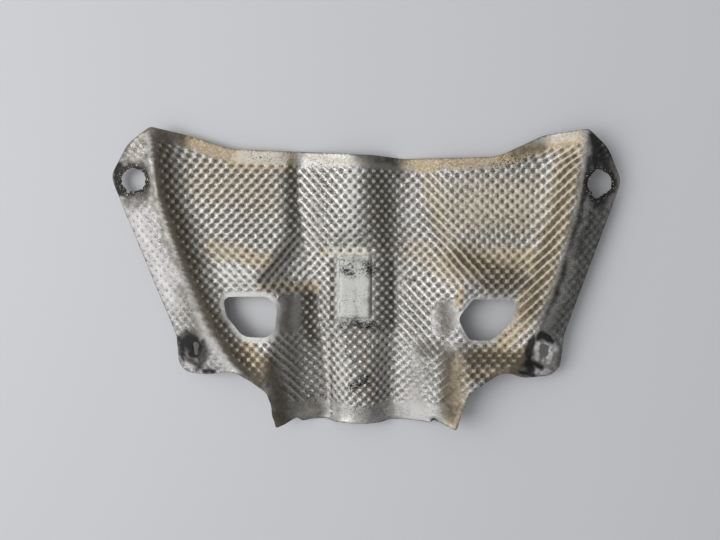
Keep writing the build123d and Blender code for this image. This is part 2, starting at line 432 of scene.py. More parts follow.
# How the embossing fades out, in pixels: from its last trace to its full depth
fade = {
    "top": (11, 15), "bottom": (13, 20), "hole": (7, 15), "ridge": (5, 12),
    "wallLeft": (1, 13), "wallRight": (1, 9),
    "windows": (3.5, 1.0), "windowSoft": 4.5, "patchSoft": 3,
    "flange": 0.56,         # share of the depth that the flanges have
    "holeDense": 16,        # the mesh is dense up to here round the holes
    "meshFrom": 0.3,        # and where the embossing is stronger than this
}


def embossMask(pixels):
    mask = ease(*fade["top"], lineDistance(pixels, topEdge))
    mask *= ease(*fade["bottom"], lineDistance(pixels, bottomEdge))
    for patch in plainPatches:
        mask *= 1 - patchMask(pixels, patch, fade["patchSoft"])
    for edge, rimWidth in zip(windowEdges, fade["windows"]):
        mask *= ease(rimWidth, rimWidth + fade["windowSoft"], lineDistance(pixels, edge, closed=True))
    for edge in holeLines:
        mask *= ease(*fade["hole"], lineDistance(pixels, edge, closed=True))
    left, right = lineDistance(pixels, ridgeLeft), lineDistance(pixels, ridgeRight)
    panel = ease(*fade["wallLeft"], left) * ease(*fade["wallRight"], right)
    flange = fade["flange"] * ease(*fade["ridge"], np.minimum(left, right))
    mask *= np.where(onPanels(pixels), panel, flange)
    return mask * (1 - brushed(pixels, embossStrokes["faint"]))


def onSheet(points):
    # inside the outline and outside every hole
    return inside(points, rims[0]) & ~np.any([inside(points, rim) for rim in rims[1:]], axis=0)


# Mesh points follow the diagonals of the embossing, a quarter of them where it is plain
lattice = sheetForm["embossPitch"] / (2 * sheetForm["samples"])
spots = []
for row in range(math.floor(low[1] / lattice), math.ceil(high[1] / lattice) + 1):
    y = row * lattice
    arc = arcRow(y)
    columns = np.arange(math.floor(arc[0] / (2 * lattice)), math.ceil(arc[-1] / (2 * lattice)) + 1)
    x = np.interp((2 * columns + row % 2) * lattice, arc, gridX)
    spots.append(np.column_stack((x, np.full(len(x), y), np.full(len(x), row), columns)))
spots = np.vstack(spots)
spots = spots[onSheet(spots[:, :2])]
fixed = np.vstack(rims + padLoops + creases)
fixedTree = pointTree(np.column_stack((fixed, np.zeros(len(fixed)))))
spots = spots[[fixedTree.find((x, y, 0))[2] > sheetForm["clear"] for x, y in spots[:, :2]]]
spotPixels = planPixels(spots[:, :2])
dense = (embossMask(spotPixels) > fade["meshFrom"]) & onPanels(spotPixels)
fromHoles = np.min([lineDistance(spotPixels, edge, closed=True) for edge in holeLines], axis=0)
dense |= fromHoles < fade["holeDense"]
spotRow, spotColumn = spots[:, 2].astype(int), spots[:, 3].astype(int)
spots = spots[dense | (spotRow % 2 == 0) & ((spotColumn - spotRow // 2) % 2 == 0)]
print("sheet points", len(spots))

sides, first = [], 0
for loop in rims + padLoops:
    sides += [(first + i, first + (i + 1) % len(loop)) for i in range(len(loop))]
    first += len(loop)
for line in creases:
    sides += [(first + i, first + i + 1) for i in range(len(line) - 1)]
    first += len(line)
toMillimetres = 1000        # the triangulation works better on numbers of this size
plan = np.vstack((fixed, spots[:, :2]))
result = delaunay_2d_cdt([Vector(point) for point in plan * toMillimetres], sides, [], 1, 1e-5)
plan = np.array([(v.x, v.y) for v in result[0]]) / toMillimetres
tris = np.array(result[2])
tris = tris[onSheet(plan[tris].mean(axis=1))]
used = np.unique(tris)
lookup = np.full(len(plan), -1)
lookup[used] = np.arange(len(used))
plan, tris = plan[used], lookup[tris]
sideOne, sideTwo = plan[tris[:, 1]] - plan[tris[:, 0]], plan[tris[:, 2]] - plan[tris[:, 0]]
clockwise = sideOne[:, 0] * sideTwo[:, 1] - sideOne[:, 1] * sideTwo[:, 0] < 0
tris[clockwise] = tris[clockwise][:, ::-1]
print("skin", len(plan), "points", len(tris), "triangles")

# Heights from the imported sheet, with the folds softened as in the pressing
foldForm = {
    "give": 0.5,                        # share of the way to the neighbours' mean in one pass
    "passes": 12,                       # over all folds
    "meltPasses": 60,                   # more of them where the walls run out softly
    "crease": (0.12, 0.88),             # share of the give at a crease, and what is added away from it
    "creaseReach": (0.0008, 0.005),     # metres from a crease
    "meltReach": (6, 20),               # pixels from a soft fold
}
softFolds = [
    [(174, 135), (182, 190), (200, 245), (222, 295), (240, 335)],
    [(562, 145), (552, 195), (540, 245), (525, 300)], [(400, 165), (408, 235), (414, 290)],
    [(428, 170), (436, 235)], [(452, 180), (462, 240)],
]


def relax(values, pairs, amount, passes):
    # each point moves towards the mean of the points it is paired with
    degree = np.maximum(np.bincount(pairs.ravel(), minlength=len(values)), 1)
    for turn in range(passes):
        total = np.bincount(pairs[:, 0], values[pairs[:, 1]], len(values))
        total += np.bincount(pairs[:, 1], values[pairs[:, 0]], len(values))
        values = values + amount * (total / degree - values)
    return values


height = np.array([heightAt(x, y) for x, y in plan])
skinPixels = toPixel(np.column_stack((plan, height)))
links = np.unique(np.sort(np.vstack((tris[:, :2], tris[:, 1:], tris[:, ::2])), axis=1), axis=0)
border = np.array(rimEdges(tris))
onBorder = np.zeros(len(plan), bool)
onBorder[border] = True
give = np.where(nearPad(plan) | onBorder, 0.0, foldForm["give"])
atCrease, beyond = foldForm["crease"]
for line in creases:
    give *= atCrease + beyond * ease(*foldForm["creaseReach"], lineDistance(plan, line))
melt = np.max([1 - ease(*foldForm["meltReach"], lineDistance(skinPixels, line)) for line in softFolds],
              axis=0)
height = relax(height, border, np.where(onBorder, foldForm["give"], 0), foldForm["passes"])
height = relax(height, links, give, foldForm["passes"])
height = relax(height, links, give * melt, foldForm["meltPasses"])

# The torn bolt hole is crumpled, a bead runs beside the lower rib, and the sheet is dented all over
dents = {
    "tornMiddle": (543.0, 351.0), "tornReach": (8, 24),     # pixels of the photograph
    "crumple": ((0.0016, 0.0065), (0.0009, 0.0028)),        # depth and size in metres
    "beadRows": (312, 322, 404, 413), "beadColumn": 330.5, "beadWidth": 1.7,
    "beadDepth": 0.0007,
    "shallow": (0.0003, 0.022),
}
crumple = 1 - ease(*dents["tornReach"], np.linalg.norm(skinPixels - dents["tornMiddle"], axis=1))
for i in np.nonzero(crumple > 0)[0]:
    spot = Vector((*plan[i], 0.0))
    height[i] += crumple[i] * sum(depth * noise.noise(spot / size) for depth, size in dents["crumple"])
bead = np.interp(skinPixels[:, 1], dents["beadRows"], (0, 1, 1, 0))
fromBead = (skinPixels[:, 0] - dents["beadColumn"]) / dents["beadWidth"]
height -= dents["beadDepth"] * bead * np.exp(-fromBead ** 2)
dentDepth, dentSize = dents["shallow"]
dented = np.array([noise.noise(Vector((x, y, 0.0)) / dentSize) for x, y in plan])
height += np.where(onBorder, 0, dentDepth) * dented


def pointNormals(points, faces):
    normals = faceCross(points, faces)
    out = np.zeros_like(points)
    for i in range(3):
        for axis in range(3):
            out[:, axis] += np.bincount(faces[:, i], normals[:, axis], len(points))
    return out / np.maximum(np.linalg.norm(out, axis=1), 1e-12)[:, None]


upper = np.column_stack((plan, np.minimum(height, high[2] - inset)))
square = pointNormals(upper, tris)
lower = np.clip(upper - square * sheetForm["thickness"], (low[0], low[1], 0), high)

# Rim walls join the two skins along each border edge
count = len(plan)
walls = []
for i, j in border:
    walls += [(i, i + count, j + count), (i, j + count, j)]
faces = np.vstack((tris, tris[:, ::-1] + count, np.array(walls)))
points = np.vstack((upper, lower))
sheetMesh = bpy.data.meshes.new("shieldSheet")
sheetMesh.from_pydata(points.tolist(), [], faces.tolist())
print("sheet", len(points), "points", len(faces), "triangles")


def addValue(name, values, under=1.0):
    # the under side takes a share of the value
    layer = sheetMesh.attributes.new(name, "FLOAT", "POINT")
    layer.data.foreach_set("value", np.concatenate((values, values * under)).astype(np.float32))


# What the embossing reads at each point
embossTouch = {
    "jitter": 0.00045, "jitterSize": 0.011, "jitterSeed": 4.0,      # metres that nubs stand out of line
    "floor": 0.0002, "rise": 0.0013, "least": 0.3,      # shallower where the sheet comes near the floor
    "push": (0.28, 0.4),            # fainter embossing is left to the bump
    "cup": 0.28, "cupApart": 0.54,  # nubs that run together, and what takes them apart
}
pixels = toPixel(upper)
embossU = np.array([np.interp(x, gridX, arcRow(y)) for x, y in plan])
jitterSize = embossTouch["jitterSize"]
jitter = np.array([noise.noise_vector(Vector((x / jitterSize, y / jitterSize, embossTouch["jitterSeed"])))
                   for x, y in plan])
addValue("embossU", embossU + embossTouch["jitter"] * jitter[:, 0])
addValue("embossV", plan[:, 1] + embossTouch["jitter"] * jitter[:, 1])
room = np.clip((height - embossTouch["floor"]) / embossTouch["rise"], embossTouch["least"], 1)
embossStrength = embossMask(pixels) * room
addValue("embossStrength", embossStrength)
addValue("embossPush", embossStrength * ease(*embossTouch["push"], embossStrength) * onPanels(pixels))
lay = {name: brushed(pixels, strokes) for name, strokes in embossStrokes.items() if name != "faint"}
addValue("embossLean", lay["slash"] - lay["backslash"])
addValue("embossCup", embossTouch["cup"] - embossTouch["cupApart"] * lay["apart"])
addValue("embossFlat", lay["level"] - lay["upright"])

# Stains and wear, with shade and highlights painted in as colour, brushed on in strokes: points in pixels of
# the photograph, half width, strength
stains = {
    "tanStainAndSheen": [
        # strokes along the top edge lighten the plain top band: tan film with a painted sheen where light
        # falls on it
        ([(188, 141), (212, 149), (240, 156), (288, 160)], 13, 0.9), ([(240, 156), (284, 160)], 15, 2.0),
        ([(205, 180), (262, 190)], 45, 0.38), ([(215, 250), (262, 260)], 18, 0.6),
        ([(262, 286), (300, 287), (316, 288)], 9, 0.65), ([(246, 350), (262, 366)], 17, 0.8),
        ([(312, 160), (362, 162)], 8, 0.4), ([(326, 252), (364, 252)], 8, 0.9),
        ([(432, 185), (446, 235), (455, 280)], 22, 0.42), ([(410, 250), (440, 262)], 22, 0.42),
        ([(405, 163), (440, 164), (500, 160), (545, 146), (580, 140)], 12, 0.9),
        ([(475, 205), (520, 205)], 48, 0.62), ([(452, 262), (530, 262)], 26, 0.75),
        ([(572, 150), (558, 220), (545, 270), (520, 320), (500, 350)], 22, 0.75),
        ([(480, 356), (522, 356)], 16, 0.75), ([(472, 372), (512, 374)], 12, 0.7),
        ([(458, 365), (455, 425)], 18, 0.7), ([(150, 135), (136, 150)], 18, 0.3),
        ([(462, 292), (460, 305)], 8, 0.7), ([(155, 130), (157, 200), (178, 262)], 4, 0.4),
        ([(362, 340), (372, 400)], 14, 0.35)],
    "brownStainAndShade": [
        ([(128, 162), (146, 168), (149, 182), (142, 200), (128, 203)], 12, 0.6),
        ([(150, 128), (134, 138), (120, 160)], 7, 0.5), ([(122, 196), (132, 210)], 9, 0.35),
        # strokes along the left wall, right of the left ridge, darken a slope that faces away from the light:
        # painted shade as well as brown dirt
        ([(145, 140), (149, 180), (154, 205), (176, 264), (198, 312)], 7, 0.5),
        ([(182, 292), (197, 328)], 15, 0.5), ([(152, 138), (128, 156)], 22, 0.38),
        ([(365, 158), (398, 161)], 12, 0.65), ([(470, 374), (488, 379), (516, 372)], 11, 0.85),
        ([(447, 358), (449, 415)], 18, 0.78), ([(460, 258), (515, 280)], 24, 0.85),
        ([(550, 240), (532, 310)], 20, 0.78), ([(578, 170), (568, 225), (552, 275)], 8, 0.6),
        ([(424, 350), (438, 348)], 17, 0.65), ([(455, 255), (470, 270)], 16, 0.45),
        ([(210, 175), (265, 185), (245, 225)], 50, 0.34), ([(430, 215), (446, 262)], 20, 0.42),
        ([(240, 352), (262, 372)], 18, 0.68), ([(332, 262), (332, 320)], 4.5, 0.8),
        ([(420, 350), (430, 378)], 15, 0.4), ([(414, 372), (420, 398)], 17, 0.34),
        (holeEdges["keyLeft"], 11, 0.7), ([(570, 160), (560, 210), (545, 262)], 18, 0.7),
        # a thin dark line beside the bead: painted shade on its far side
        ([(331.5, 335), (331.5, 415)], 2, 0.7),
        ([(164, 136), (168, 190), (184, 240), (199, 285), (214, 320), (231, 345), (250, 368)], 16, 0.85),
        ([(174, 150), (180, 200), (198, 250), (216, 300)], 16, 0.4),
        ([(158, 132), (182, 139)], 13, 0.75), ([(381, 162), (382, 200), (385, 245)], 19, 0.4),
        ([(291, 160), (293, 230)], 9, 0.55), ([(298, 240), (262, 278)], 12, 0.6),
        ([(289, 300), (288, 330)], 14, 0.7), ([(270, 362), (282, 425)], 22, 0.76),
        ([(288, 345), (302, 405)], 17, 0.55), ([(384, 262), (386, 322)], 13, 0.36),
        ([(382, 340), (385, 400)], 12, 0.22), ([(472, 360), (518, 361)], 18, 1.0),
        ([(490, 282), (526, 284)], 18, 0.88), ([(508, 262), (530, 268)], 14, 0.5),
        ([(308, 296), (310, 335)], 13, 0.75), ([(462, 268), (505, 272)], 22, 0.62),
        ([(568, 165), (556, 215), (542, 265), (524, 315)], 20, 0.62),
        ([(515, 152), (542, 146)], 14, 0.66), ([(462, 350), (456, 405)], 16, 0.58),
        ([(444, 305), (446, 330)], 16, 0.61), ([(306, 395), (320, 412)], 15, 0.6),
        ([(262, 287), (305, 288)], 7, 0.6)],
    "sootStainAndShade": [
        # the strokes on the right flange darken a slope that faces away from the light: painted shade as well
        # as soot
        ([(600, 140), (606, 170), (604, 200), (590, 250), (572, 300), (556, 330)], 22, 0.63),
        ([(596, 142), (600, 158)], 13, 0.95), ([(589, 160), (580, 210), (567, 255), (553, 300)], 8, 0.8),
        ([(549, 303), (541, 325)], 9, 0.8), ([(120, 168), (117, 178), (120, 192)], 10, 1.0),
        (holeEdges["earLeft"], 7, 0.85), ([(130, 165), (146, 168)], 7, 0.5),
        ([(143, 194), (132, 198)], 8, 0.6), ([(191, 338), (185, 343)], 13, 1.0),
        (holeEdges["earRight"], 7, 0.8), (holeEdges["keyLeft"], 7, 1.0),
        ([(190, 336), (183, 346), (184, 356)], 7, 1.0), ([(604, 150), (608, 175), (600, 205)], 16, 0.85),
        ([(594, 136), (596, 165)], 9, 1.0), ([(199, 341), (203, 351), (200, 362)], 6.5, 0.75),
        ([(592, 215), (578, 255)], 13, 0.7), ([(181, 338), (180, 350), (183, 360)], 4, 0.8),
        ([(203, 341), (207, 352), (203, 364), (199, 367)], 7, 0.75), ([(204, 371), (213, 371)], 4, 1.0),
        ([(187, 358), (196, 364)], 5.5, 0.75),
        ([(529, 354), (533, 340), (541, 333), (549, 338)], 6, 1.0),
        ([(552, 341), (541, 336), (531, 341), (527, 352), (530, 362), (541, 367)], 5.5, 0.95),
        ([(527, 363), (531, 369)], 8, 1.0), ([(556, 338), (561, 350), (558, 366)], 6, 0.64),
        ([(520, 372), (534, 376)], 4, 0.9), ([(392, 160), (399, 172)], 13, 0.5),
        ([(378, 161), (384, 164)], 9, 0.4), ([(362, 262), (372, 270)], 7, 0.45),
        ([(345, 272), (352, 273)], 7, 0.4), ([(350, 327), (374, 325)], 7, 0.5),
        ([(356, 384), (364, 380)], 8, 0.45), ([(409, 279), (415, 281)], 2.2, 0.8),
        ([(433, 420), (436, 422)], 5, 0.9), ([(589, 172), (588, 186), (594, 198)], 7, 0.9),
        # this stroke darkens the valley right of the rib: painted shade in the crease
        ([(392, 262), (393, 330)], 5, 0.6)],
    "paleBloomAndHighlights": [
        # pale oxide bloom; the strokes on the left flange, the rib's left slope, the right valley and trough,
        # the lower band and the torn hole's crumples are painted highlights where light falls
        ([(132, 205), (150, 250), (172, 298)], 21, 0.8),
        ([(190, 300), (205, 340), (225, 368)], 14, 0.42), ([(318, 170), (316, 240)], 16, 0.4),
        ([(412, 175), (410, 240)], 12, 0.35), ([(402, 272), (402, 290)], 11, 0.5),
        ([(414, 300), (414, 345)], 18, 0.2), ([(345, 402), (346, 414)], 8, 0.5),
        ([(412, 395), (416, 415)], 15, 0.8), ([(537, 344), (537, 358)], 5, 1.0),
        ([(547, 342), (556, 348)], 6, 1.0), ([(535, 371), (547, 372)], 5, 1.0),
        # the thin pale line at column 328 is a painted highlight on the near side of the bead
        ([(551, 352), (548, 362)], 4, 0.9), ([(328, 330), (328, 415)], 2, 0.8),
        ([(340, 330), (340, 395)], 9, 0.45), ([(383, 402), (386, 414)], 8, 0.45),
        ([(183, 354), (190, 364)], 6, 0.7)],
    "chalkFilmAndHighlights": [
        # chalk film on the pad and window rims; the thin strokes along both ridges, at the pad's upper and
        # left edges, on the left flange and on the top band are painted highlights where light falls
        ([(347, 264), (347, 314)], 12, 1.0), ([(362, 266), (362, 314)], 12, 1.0),
        ([(222, 272), (255, 280)], 16, 0.55), ([(585, 136), (578, 195), (564, 250), (553, 285)], 3, 0.4),
        ([(152, 140), (157, 200), (179, 258), (202, 308)], 2.5, 0.36),
        ([(475, 195), (520, 200)], 50, 0.4), ([(246, 157), (285, 160)], 13, 0.55),
        ([(330, 252), (362, 252)], 9, 1.0), ([(352, 170), (350, 240)], 11, 0.65),
        ([(337, 262), (337, 318)], 1.6, 0.9), ([(545, 142), (580, 138)], 8, 0.5),
        ([(444, 302), (444, 332)], 12, 0.2), ([(136, 214), (156, 262), (172, 300)], 6.5, 0.65),
        ([(350, 350), (352, 385)], 10, 0.4)],
    "pitting": [
        ([(325, 175), (325, 240)], 24, 0.55), ([(495, 165), (530, 158)], 9, 0.9),
        ([(345, 262), (370, 270)], 13, 0.8), ([(363, 262), (371, 272)], 6.5, 1.5),
        ([(341, 269), (353, 273)], 6.5, 1.35), ([(350, 326), (374, 322)], 7, 1.35),
        ([(345, 325), (380, 325)], 12, 0.8), ([(354, 386), (364, 380)], 9, 1.2),
        ([(480, 200), (520, 220)], 34, 0.4), ([(340, 300), (366, 300)], 12, 0.3),
        ([(400, 240), (420, 330)], 20, 0.4), ([(310, 340), (320, 400)], 20, 0.45),
        ([(380, 180), (400, 260)], 14, 0.4), ([(440, 320), (450, 330)], 12, 0.4),
        ([(340, 410), (385, 412)], 10, 0.5), ([(440, 165), (480, 165)], 10, 0.5),
        ([(250, 158), (285, 160)], 8, 0.6), ([(140, 215), (180, 300)], 22, 0.15),
        ([(130, 150), (150, 160)], 18, 0.3), ([(600, 150), (570, 300)], 20, 0.4)],
}

# How stains stray and where they stop, in pixels of the photograph
stainForm = {
    "fine": (6, 2.5, 2), "broad": (19, 4.5, 1),     # size, depth and seed of the wandering
    "narrow": 6, "narrowShare": 0.4,                # strokes up to this width wander less
    # a dark line along the outline: painted edge shadow with grime; brown on the left wall is painted shade
    # with dirt
    "edgeShadowAndGrime": 0.7, "wallShadeAndBrown": 0.86,
    "wallFrom": (-1.5, 1.5), "wallTo": (8, 20), "wallTop": (122, 140),
    "sootColumn": 535, "sootRidge": (-4.5, 0.5),    # soot and painted shade of the right flange end at its ridge
    "windowChalk": (0.75, 0.42), "windowReach": (3, 8),
    "eatenReach": (0, 8),
    "under": 0.5, "eatenUnder": 0.7,                # shares on the under side
}


def wobbled(size, depth, seed):
    # points of the photograph pushed about, so that a stain's edge wanders
    push = [noise.noise_vector(Vector((x / size, y / size, seed))) for x, y in pixels]
    return depth * np.array([(n.x, n.y) for n in push])


def rightOf(line):
    # how far points lie to the right of a line that runs down the photograph
    return np.where(sideOf(pixels, line), -1, 1) * lineDistance(pixels, line)


fineStray = wobbled(*stainForm["fine"])
strayed = {True: pixels + wobbled(*stainForm["broad"]) + fineStray,
           False: pixels + stainForm["narrowShare"] * fineStray}
outlineEdge = np.zeros(count, bool)
outlineEdge[np.nonzero(onBorder)[0]] = lineDistance(plan[onBorder], rims[0], closed=True) < 1e-5
fromLeft, fromRight = rightOf(ridgeLeft), rightOf(ridgeRight)
for name, strokes in stains.items():
    mask = np.max([brushed(strayed[wide], [s for s in strokes if (s[1] > stainForm["narrow"]) == wide])
                   for wide in (True, False)], axis=0)
    # brown on the left wall is painted shade as well as dirt
    if name == "brownStainAndShade":
        onWall = ease(*stainForm["wallFrom"], fromLeft) * (1 - ease(*stainForm["wallTo"], fromLeft))
        onWall *= ease(*stainForm["wallTop"], pixels[:, 1])
        mask = np.maximum(mask, stainForm["edgeShadowAndGrime"] * outlineEdge)
        mask = np.maximum(mask, stainForm["wallShadeAndBrown"] * onWall)
    # on the right flange, soot and painted shade stop at the ridge
    if name == "sootStainAndShade":
        mask *= np.where(pixels[:, 0] > stainForm["sootColumn"], ease(*stainForm["sootRidge"], fromRight), 1)
    if name == "chalkFilmAndHighlights":
        for edge, amount in zip(windowEdges, stainForm["windowChalk"]):
            away = lineDistance(pixels, edge, closed=True)
            mask = np.maximum(mask, amount * (1 - ease(*stainForm["windowReach"], away)))
    addValue(name, mask, stainForm["under"])
fromEars = np.min([lineDistance(pixels, edge, closed=True) for edge in holeLines[:2]], axis=0)
addValue("eatenEdge", 1 - ease(*stainForm["eatenReach"], fromEars), stainForm["eatenUnder"])
print("stains", list(stains))

layer = sheetMesh.attributes.new("sheetNormal", "FLOAT_VECTOR", "POINT")
layer.data.foreach_set("vector", np.vstack((square, square)).astype(np.float32).ravel())
shieldSheet = bpy.data.objects.new("shieldSheet", sheetMesh)
scene.collection.objects.link(shieldSheet)

# Finish: weathered aluminium, colours as the photograph shows them; some stand in for shade and highlights
finish = {
    "silver": (0.31, 0.302, 0.283, 1), "bright": (0.66, 0.645, 0.62, 1), "crust": (0.026, 0.02, 0.016, 1),
    "tan": (0.51, 0.375, 0.205, 1), "cream": (0.80, 0.705, 0.54, 1), "brown": (0.085, 0.066, 0.042, 1),
    "sootBlackAndShade": (0.012, 0.011, 0.011, 1), "pale": (0.70, 0.66, 0.66, 1), "chalkAndHighlight": (0.83, 0.83, 0.79, 1),
    "grimeAndPitShade": (0.092, 0.070, 0.043, 1), "fleckAndGlint": (0.86, 0.85, 0.82, 1),
    "roughness": 0.36, "dirtRough": 0.25, "specular": 0.22,
    "metallic": (0.6, 0.12),        # bare metal, full dirt
    "bump": 0.8, "bumpDepth": 0.0003,
}
cover = {"tan": 0.88, "pale": 0.8, "chalkAndHighlight": 0.85, "brown": 0.92, "sootBlackAndShade": 0.96, "crust": 0.9}
embossForm = {"Depth": 0.0007, "Pitch": sheetForm["embossPitch"]}
sheetMetal = bpy.data.materials.new("embossedAluminium")
sheetMetal.use_nodes = True
metal = sheetMetal.node_tree
shader = metal.nodes["Principled BSDF"]


# Small helpers for node trees; those without a tree of their own work on the metal
def place(tree, kind, inputs=None, **settings):
    node = tree.nodes.new(kind)
    for key, value in settings.items():
        setattr(node, key, value)
    for key, value in (inputs or {}).items():
        if isinstance(value, bpy.types.NodeSocket):
            tree.links.new(value, node.inputs[key])
        else:
            node.inputs[key].default_value = value
    return node


def calc(tree, operation, *values, kind="ShaderNodeMath"):
    return place(tree, kind, dict(enumerate(values)), operation=operation).outputs[0]


def chain(operation, values):
    out = values[0]
    for value in values[1:]:
        out = calc(metal, operation, out, value)
    return out


def times(*values):
    return chain("MULTIPLY", values)


def most(*values):
    return chain("MAXIMUM", values)


def timesPlus(value, factor, extra):
    return calc(metal, "MULTIPLY_ADD", value, factor, extra)


def spread(value, start, end, toStart=0.0, toEnd=1.0):
    inputs = {"Value": value, "From Min": start, "From Max": end, "To Min": toStart, "To Max": toEnd}
    return place(metal, "ShaderNodeMapRange", inputs, interpolation_type="SMOOTHSTEP").outputs[0]


def blend(amount, one, other, **settings):
    inputs = {0: amount, 6: one, 7: other}
    return place(metal, "ShaderNodeMix", inputs, data_type="RGBA", **settings).outputs[2]


def cloud(scale, detail, rough=0.55):
    inputs = {"Vector": where, "Scale": scale, "Detail": detail, "Roughness": rough}
    return place(metal, "ShaderNodeTexNoise", inputs).outputs["Fac"]


def painted(name):
    return place(metal, "ShaderNodeAttribute", attribute_name=name).outputs["Fac"]


def patchy(mask, grain, reach=0.7):
    # a painted mask with an edge broken up by a grain
    shifted = timesPlus(calc(metal, "SUBTRACT", grain, 0.5), reach, mask)
    return times(spread(shifted, 0.1, 0.9), spread(mask, 0.0, 0.12))


def embossWave(tree, across, along, turns, lean, cup, flat):
    # two diagonal waves: lean favours one, cup lifts the saddles so that the pits lie apart in a pale net
    # and below 0.28 narrows the nubs, flat draws the pits out across the sheet, or along it where negative
    def do(operation, *values):
        return calc(tree, operation, *values)

    one = do("COSINE", do("MULTIPLY", do("ADD", across, along), turns))
    two = do("COSINE", do("MULTIPLY", do("SUBTRACT", across, along), turns))
    even = do("MULTIPLY", do("ADD", one, two), 0.5)
    odd = do("MULTIPLY", do("SUBTRACT", two, one), 0.5)
    leaning = do("MULTIPLY_ADD", odd, lean, even)
    row = do("COSINE", do("MULTIPLY", do("MULTIPLY", along, turns), 2.0))
    column = do("COSINE", do("MULTIPLY", do("MULTIPLY", across, turns), 2.0))
    drawn = do("MULTIPLY_ADD", do("SUBTRACT", row, column), flat, do("ADD", row, column))
    wave = do("SUBTRACT", leaning, do("MULTIPLY", do("MULTIPLY", drawn, 0.5), cup))
    middle = do("SUBTRACT", 1.0, do("MULTIPLY", wave, wave))
    return do("MULTIPLY_ADD", middle, do("MULTIPLY_ADD", cup, 0.9, -0.25), wave)


# Grains of the metal, and the nubs and pits of its embossing
where = place(metal, "ShaderNodeTexCoord").outputs["Object"]
middling, fine, grit = cloud(210, 5), cloud(520, 4), cloud(850, 2)
tanStainAndSheen, chalkFilmAndHighlights, pressing = painted("tanStainAndSheen"), painted("chalkFilmAndHighlights"), painted("embossStrength")
cup, eatenEdge = painted("embossCup"), painted("eatenEdge")
relief = times(embossWave(metal, painted("embossU"), painted("embossV"), math.tau / embossForm["Pitch"],
                          painted("embossLean"), cup, painted("embossFlat")), pressing)
nub, pit = spread(relief, 0.1, 0.6), spread(relief, -0.2, -0.95)
satin = spread(pressing, 0.1, 0.5, 1.0, 0.0)        # plain metal is smoother
satin = times(satin, spread(chalkFilmAndHighlights, 0.4, 0.9, 1.0, 0.3))
worn = timesPlus(fine, 0.6, timesPlus(middling, 0.4, times(nub, 0.15)))
worn = timesPlus(calc(metal, "SUBTRACT", 0.53, worn), times(satin, 0.55), worn)
colour = blend(spread(worn, 0.38, 0.68), finish["silver"], finish["bright"])
warm = spread(calc(metal, "ADD", middling, tanStainAndSheen), 0.4, 1.1, 0.06, 0.8)
colour = blend(times(nub, warm, 0.45), colour, finish["cream"])
colour = blend(times(spread(relief, 0.4, 0.68), warm, 0.75), colour, finish["tan"])

# Stains, and shade and highlights painted as colour, over the metal, the lowest first
tanAndSheenMask = patchy(tanStainAndSheen, middling)
bandSheen = most(calc(metal, "SUBTRACT", tanStainAndSheen, 1.0), 0.0)       # tan past full strength, only on the top band, turns cream: painted sheen where light falls there
tanTone = spread(timesPlus(bandSheen, 0.6, timesPlus(nub, 0.25, fine)), 0.4, 0.75)
colour = blend(times(tanAndSheenMask, cover["tan"]), colour, blend(tanTone, finish["tan"], finish["cream"]))
paleAndHighlightMask = patchy(painted("paleBloomAndHighlights"), middling)
colour = blend(times(paleAndHighlightMask, cover["pale"]), colour, finish["pale"])
chalkAndHighlightMask = times(patchy(chalkFilmAndHighlights, middling), spread(relief, -0.4, 0.2, 0.35, 1.0))
colour = blend(times(chalkAndHighlightMask, cover["chalkAndHighlight"]), colour, finish["chalkAndHighlight"])
# pits darkened: painted shade in the hollows of the embossing, with grime
pitGrimeAndShade = times(pit, spread(fine, 0.35, 0.6, 0.3, 1.0))
colour = blend(pitGrimeAndShade, colour, finish["grimeAndPitShade"])
brownAndShadeMask = times(patchy(painted("brownStainAndShade"), middling), timesPlus(nub, -0.72, 1.0))
colour = blend(times(brownAndShadeMask, cover["brown"]), colour, finish["brown"])
sootAndShadeMask = times(patchy(painted("sootStainAndShade"), middling, 0.5), timesPlus(nub, -0.18, 1.0))
colour = blend(times(sootAndShadeMask, cover["sootBlackAndShade"]), colour, finish["sootBlackAndShade"])
colour = blend(times(patchy(eatenEdge, fine, 1.2), cover["crust"]), colour, finish["crust"])

# Painted glints on nubs where they stand apart, pits of corrosion, crumbs on the eaten edges
standing = spread(cup, 0.08, -0.15)
nubGlint = times(standing, spread(relief, 0.22, 0.62), spread(fine, 0.3, 0.6, 0.55, 1.0))
colour = blend(nubGlint, colour, finish["fleckAndGlint"])
specks = spread(timesPlus(painted("pitting"), 0.17, grit), 0.67, 0.73)
colour = blend(specks, colour, finish["sootBlackAndShade"])
crumbs = times(spread(grit, 0.38, 0.33), spread(eatenEdge, 0.25, 0.7))
colour = blend(crumbs, colour, finish["fleckAndGlint"])
mottle = spread(cloud(880, 2, 0.6), 0.36, 0.62, 0.7, 1.2)
bare = times(timesPlus(most(paleAndHighlightMask, chalkAndHighlightMask, tanAndSheenMask), -0.6, 1.0), timesPlus(satin, -0.6, 1.0))
metal.links.new(blend(bare, colour, mottle, blend_type="MULTIPLY"), shader.inputs["Base Color"])
dirt = most(tanAndSheenMask, brownAndShadeMask, sootAndShadeMask, paleAndHighlightMask, chalkAndHighlightMask, pitGrimeAndShade, specks)
metal.links.new(spread(dirt, 0.0, 1.0, *finish["metallic"]), shader.inputs["Metallic"])
dull = timesPlus(dirt, finish["dirtRough"], times(middling, 0.16))
metal.links.new(calc(metal, "ADD", dull, finish["roughness"]), shader.inputs["Roughness"])
shader.inputs["Specular IOR Level"].default_value = finish["specular"]
nubStep = times(spread(relief, -0.35, 0.3, -0.5, 0.5), timesPlus(standing, 1.2, 1.0))
grain = timesPlus(fine, timesPlus(satin, -1.1, 1.6), timesPlus(specks, -0.4, nubStep))
bumpInputs = {"Height": grain, "Strength": finish["bump"], "Distance": finish["bumpDepth"]}
metal.links.new(place(metal, "ShaderNodeBump", bumpInputs).outputs[0], shader.inputs["Normal"])

